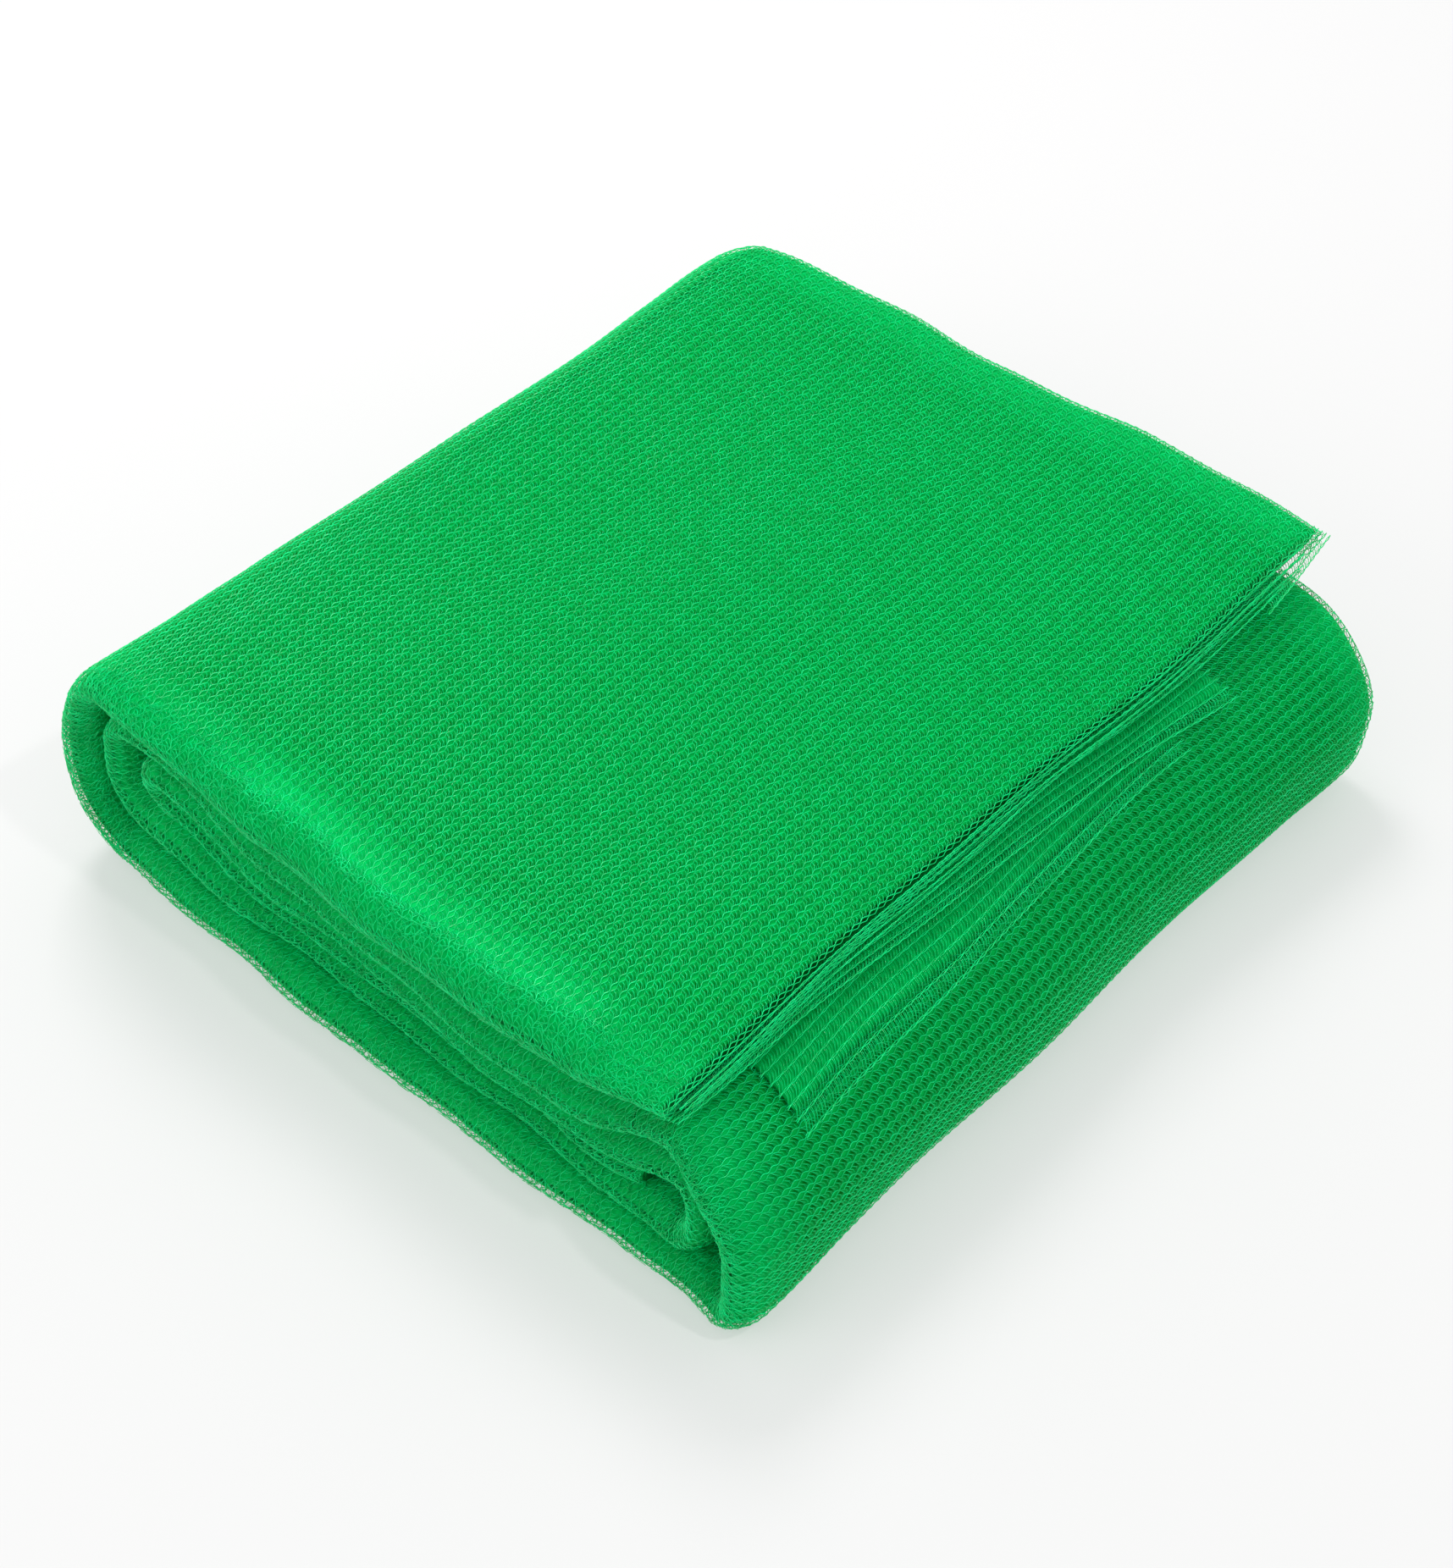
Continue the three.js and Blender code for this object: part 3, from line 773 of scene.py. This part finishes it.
# ---------------------------------------------------------------------------------------------------
# The top flap is the strip's free run. It lies on the second turn, and its cut end lies on the right
# fold's shoulder, where the plies end one under another like the pages of a book. Nothing fastens it.
FLAP_SHY = 0.0004
FLAP_BODY_START = 0.002
FLAP_LENGTHS = 6
PLY_END_OUT = (0.0010, 0.0024, 0.0036, 0.0046, 0.0054)
PLY_END_DEPTH, PLY_END_STEP = 0.0004, 0.0009
PLY_END_SHORT, PLY_END_SHORTER = 0.003, 0.0016
PLY_END_BACK = 0.010
PLY_END_SHIFT = 0.0003
flap1 = span["flap"][1]
flap = plies("top_flap_plies", "top_flap", FLAP_BODY_START, flap1, SKIN_DEPTH, FLAP_SHY)
flap_pieces = []
for i in range(FLAP_LENGTHS):
    s0, s1 = flap1 * i / FLAP_LENGTHS, flap1 * (i + 1) / FLAP_LENGTHS
    threads = whole_skin(s0, s1, 1) + fuzz(s0, s1, ROUND_EDGE, ROUND_EDGE, 2)
    flap_pieces.append(net(f"top_flap_net_{i + 1}", threads, yarn))
for i in range(2):
    underside = far_skin(flap1 * i / 2, flap1 * (i + 1) / 2, INSIDE_REACH)
    flap_pieces.append(net(f"top_flap_net_underside_{i + 1}", underside, yarn))


def ply_end(k):
    """The places along the cut end of ply k, which isn't cut quite straight."""

    def place(s, u, lift, aside=0.0):
        ragged = 0.0008 * np.sin(u * (23 + 5 * k) + k * 1.7)
        return skin(s + ragged, u, lift, aside)

    return place


end_parts = []
for k, out in enumerate(PLY_END_OUT):
    depth = -PLY_END_DEPTH - PLY_END_STEP * k
    reach = EDGE - PLY_END_SHORT - PLY_END_SHORTER * k
    back = reach - PLY_END_BACK
    shift = PLY_END_SHIFT * k
    end_parts += knit(ply_end(k), [-out], -reach, back, depth, 3, shift, [], sway=TAUT_SWING)
flap_pieces.append(net("top_flap_ply_ends", end_parts, yarn))


# ---------------------------------------------------------------------------------------------------
# The leaves are the edges of two of the flap's plies that have slid out over the shoulder. Each is one
# thickness of the same net, held under the flap and free at its outer edge, which stands off a little.
LEAF_POINTS = 12
LEAF_ROWS = 60
LEAF_BODY = 0.86
LEAF_BODY_THICK = 0.0006
LEAF_NET_LIFT = 0.0012
LEAF_INSET = 0.003


def leaf(node, inner_x, front_x, back_x, front_y, back_y, clear, edge_rise, chains, painted_glow):
    """A leaf from inner_x, under the flap, out to front_x at its front end and back_x at its back end."""
    reach = SHOULDER_REACH + HALF_STRIP + clear
    rise = SHOULDER_RISE + HALF_STRIP + clear
    slope = bend(SHOULDER_X, SHOULDER_Z, reach, rise, 90, 10)
    slope_s = np.concatenate([[0], np.cumsum(np.hypot(*np.diff(slope, axis=0).T))])
    slope_n = np.gradient(slope, slope_s, axis=0)
    slope_n = np.stack([-slope_n[:, 1], slope_n[:, 0]], 1)

    def place(across, y, lift, aside=0.0):
        along = np.clip((y - front_y) / (back_y - front_y), -0.02, 1.02)
        outer = front_x + (back_x - front_x) * along
        x = inner_x + (outer - inner_x) * across + aside
        x = x + 0.0006 * np.sin(y * 37 + across * 3) + 0.0004 * np.sin(y * 83 + across * 7)
        s = np.interp(x, slope[:, 0], slope_s)
        px, pz, nx, nz = [np.interp(s, slope_s, column) for column in (*slope.T, *slope_n.T)]
        ripple = 0.0005 * np.sin(y * 61 + across * 5) * across
        height = lift + ripple + edge_rise * across ** 2
        return settled(px + nx * height, y, pz + nz * height)

    threads = knit(place, np.linspace(0, 1, chains), front_y, back_y, LEAF_NET_LIFT, sway=TAUT_SWING)
    net_piece = net(node + "_net", threads, yarn)
    # A ring runs out over the body's upper side and back along its lower side.
    out = np.linspace(0, LEAF_BODY, LEAF_POINTS)
    ring = np.concatenate([out, out[::-1]])
    thick = np.concatenate([np.full(LEAF_POINTS, LEAF_BODY_THICK), np.zeros(LEAF_POINTS)])
    rows = np.linspace(front_y + LEAF_INSET, back_y - LEAF_INSET, LEAF_ROWS)
    across, y = np.meshgrid(ring, rows, indexing="xy")
    # The body takes the painted shade of the plies beneath, evenly lightened by a painted glow for light
    # that comes through the leaf.
    grid = np.stack([across * (chains - 1) * CHAIN_PITCH, y, 0 * y + painted_glow], -1)
    body = solid(node + "_plies", place(across, y, np.broadcast_to(thick, across.shape)), grid)
    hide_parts(node)
    return body, net_piece


# The last value of each leaf is the share of painted glow in its body's colour.
upper, upper_net = leaf(
    "upper_leaf", inner_x=0.096, front_x=0.1085, back_x=0.1245, front_y=-0.149, back_y=0.091,
    clear=0.0022, edge_rise=0.0034, chains=8, painted_glow=0.5,
)
lower, lower_net = leaf(
    "lower_leaf", inner_x=0.092, front_x=0.136, back_x=0.128, front_y=-0.120, back_y=0.066,
    clear=0.0003, edge_rise=0.0030, chains=11, painted_glow=0.35,
)
for piece in (upper, upper_net, lower, lower_net):
    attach(piece, "flap")

# ---------------------------------------------------------------------------------------------------
# The corner ply is one thickness of net that sticks out past the flap's end at its back corner. It is
# a few taut chains with open cells between, and it belongs to the flap, so it is attached with the flap.
CORNER_X, CORNER_Z = 0.1020, 0.0772
CORNER_FRONT, CORNER_BACK = 0.116, 0.1615
CORNER_OUT, CORNER_SPREAD = 0.0063, 0.0052
CORNER_CHAINS = 5


def corner(chain, y, lift, aside=0.0):
    outer = CORNER_OUT + CORNER_SPREAD * (0.162 - y) / 0.030
    x = CORNER_X + outer * chain + aside + 0.0002 * np.sin(y * 150)
    return settled(x, y + 0 * x, CORNER_Z + lift - 0.0006 * chain)


corner_chains = np.linspace(0, 1, CORNER_CHAINS)
corner_threads = knit(corner, corner_chains, CORNER_FRONT, CORNER_BACK, sway=TAUT_SWING)
corner_net = net("corner_ply_net", corner_threads, yarn)
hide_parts("corner_ply")
flap_pieces.append(corner_net)
for piece in (flap, *flap_pieces):
    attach(piece, "flap")


# ---------------------------------------------------------------------------------------------------
# The floor is a plain pale sheet, wide enough to fill the view from low down. The pack is lit by a
# white room, a broad soft light from behind, a soft fill from the front and a small one from the side.
FLOOR = 9.0
# Painted light: the floor glows, which lifts the shadows on it and lights the pack a little from below. Its
# glow is a little greener than its grey, which is a little pinker, so lit floor stays neutral and its
# shadows take a painted green cast.
FLOOR_GREY = (0.37, 0.345, 0.355)
FLOOR_PAINTED_GLOW = (0.93, 1.0, 0.97)
FLOOR_PAINTED_GLOW_STRENGTH = 0.46
ROOM_STRENGTH = 0.80
LIGHT_DISTANCE = 1.6
floor_mesh = bpy.data.meshes.new("floor")
floor_corners = [(-FLOOR, -FLOOR, 0), (FLOOR, -FLOOR, 0), (FLOOR, FLOOR, 0), (-FLOOR, FLOOR, 0)]
floor_mesh.from_pydata(floor_corners, [], [(0, 1, 2, 3)])
floor = bpy.data.objects.new("floor", floor_mesh)
scene.collection.objects.link(floor)
floor_material, _, floor_shader = principled("pale_floor")
floor_shader.inputs["Base Color"].default_value = (*FLOOR_GREY, 1)
floor_shader.inputs["Emission Color"].default_value = (*FLOOR_PAINTED_GLOW, 1)
floor_shader.inputs["Emission Strength"].default_value = FLOOR_PAINTED_GLOW_STRENGTH
floor_shader.inputs["Roughness"].default_value = 0.8
floor_mesh.materials.append(floor_material)

world = bpy.data.worlds.new("studio")
scene.world = world
world.use_nodes = True
world.node_tree.nodes["Background"].inputs["Color"].default_value = (1, 1, 1, 1)
world.node_tree.nodes["Background"].inputs["Strength"].default_value = ROOM_STRENGTH


def soft_box(name, azimuth, elevation, size, power):
    """A square light, aimed at the pack from an azimuth and an elevation in degrees."""
    light = bpy.data.lights.new(name, "AREA")
    light.shape = "SQUARE"
    light.size = size
    light.energy = power
    lamp = bpy.data.objects.new(name, light)
    a, e = math.radians(azimuth), math.radians(elevation)
    way = Vector((math.sin(a) * math.cos(e), -math.cos(a) * math.cos(e), math.sin(e)))
    lamp.location = way * LIGHT_DISTANCE
    lamp.rotation_euler = (-way).to_track_quat("-Z", "Y").to_euler()
    scene.collection.objects.link(lamp)


soft_box("back_light", azimuth=240, elevation=56, size=0.55, power=12.5)
soft_box("front_fill", azimuth=-20, elevation=30, size=0.9, power=5)
soft_box("side_light", azimuth=90, elevation=59, size=0.07, power=4.5)
scene.view_settings.view_transform = "Standard"
